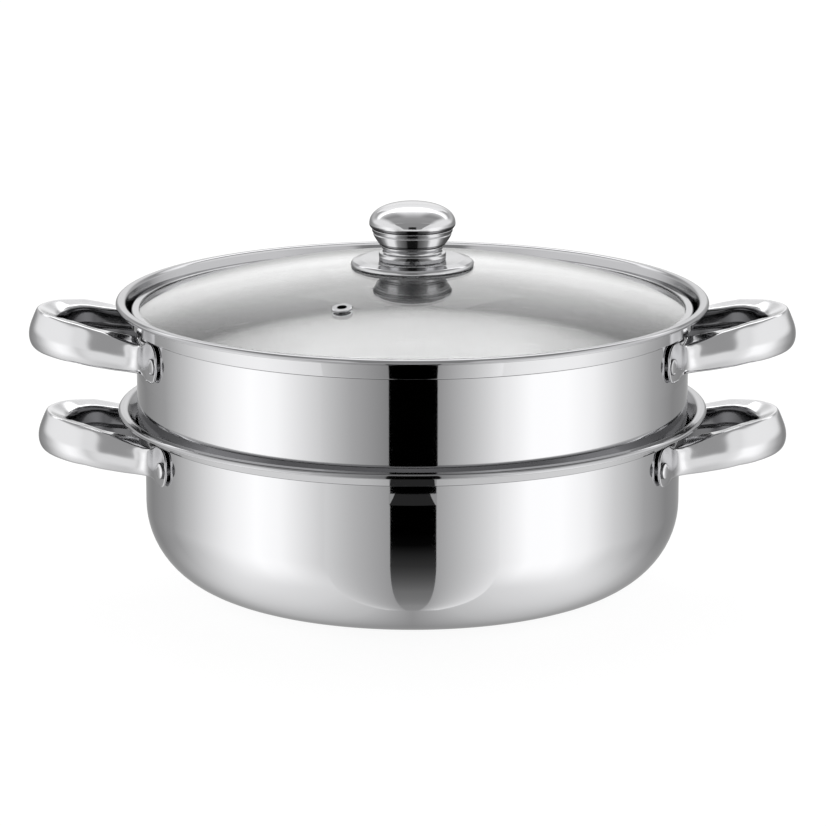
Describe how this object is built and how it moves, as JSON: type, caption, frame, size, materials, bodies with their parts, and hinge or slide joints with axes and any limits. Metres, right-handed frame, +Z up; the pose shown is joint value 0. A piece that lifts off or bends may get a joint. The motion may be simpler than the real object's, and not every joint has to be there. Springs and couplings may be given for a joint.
{
  "type": "steamer pot",
  "caption": "Two-tier steamer pot: a deep pot, a steamer tier with a pierced floor that stands in its rim, loop side handles and a domed glass lid with a round knob.",
  "frame": {"origin": "centre of the pot's flat base, on the surface it stands on", "axes": "+Z up, X through the loop handles, -Y towards the viewer in front"},
  "size_m": [0.3912, 0.3014, 0.1958],
  "materials": {
    "vessel_steel": "mirror-polished stainless sheet with fine turning marks inside",
    "handle_steel": "polished pressed stainless steel",
    "band_steel": "bright rolled stainless strip",
    "knob_steel": "polished, with turned lines",
    "fastener_steel": "plain steel fasteners",
    "lid_glass": "clear tempered glass",
    "seal_rubber": "dark silicone rings"
  },
  "bodies": {
    "pot": {"pot_shell": "vessel_steel", "pot_handle_left": "handle_steel", "pot_handle_left_rivets": "fastener_steel", "pot_handle_left_spacers": "fastener_steel", "pot_handle_right": "handle_steel", "pot_handle_right_rivets": "fastener_steel", "pot_handle_right_spacers": "fastener_steel"},
    "steamer_tier": {"steamer_shell": "vessel_steel", "steamer_handle_left": "handle_steel", "steamer_handle_left_rivets": "fastener_steel", "steamer_handle_left_spacers": "fastener_steel", "steamer_handle_right": "handle_steel", "steamer_handle_right_rivets": "fastener_steel", "steamer_handle_right_spacers": "fastener_steel"},
    "lid": {"lid_glass": "lid_glass", "lid_band": "band_steel", "lid_vent_grommet": "band_steel", "knob_upper_seal": "seal_rubber", "knob_lower_seal": "seal_rubber", "knob_lower_washer": "fastener_steel", "knob_screw": "fastener_steel", "knob_flange": "knob_steel", "knob_collar": "knob_steel", "knob_bowl": "knob_steel", "knob_insert": "fastener_steel", "knob_cap": "knob_steel"}
  },
  "joints": [
    {"name": "steamer_lift", "type": "slide", "parent": "pot", "child": "steamer_tier", "axis": [0, 0, 1], "range_m": [0, 0.12]},
    {"name": "lid_lift", "type": "slide", "parent": "steamer_tier", "child": "lid", "axis": [0, 0, 1], "range_m": [0, 0.12]}
  ]
}
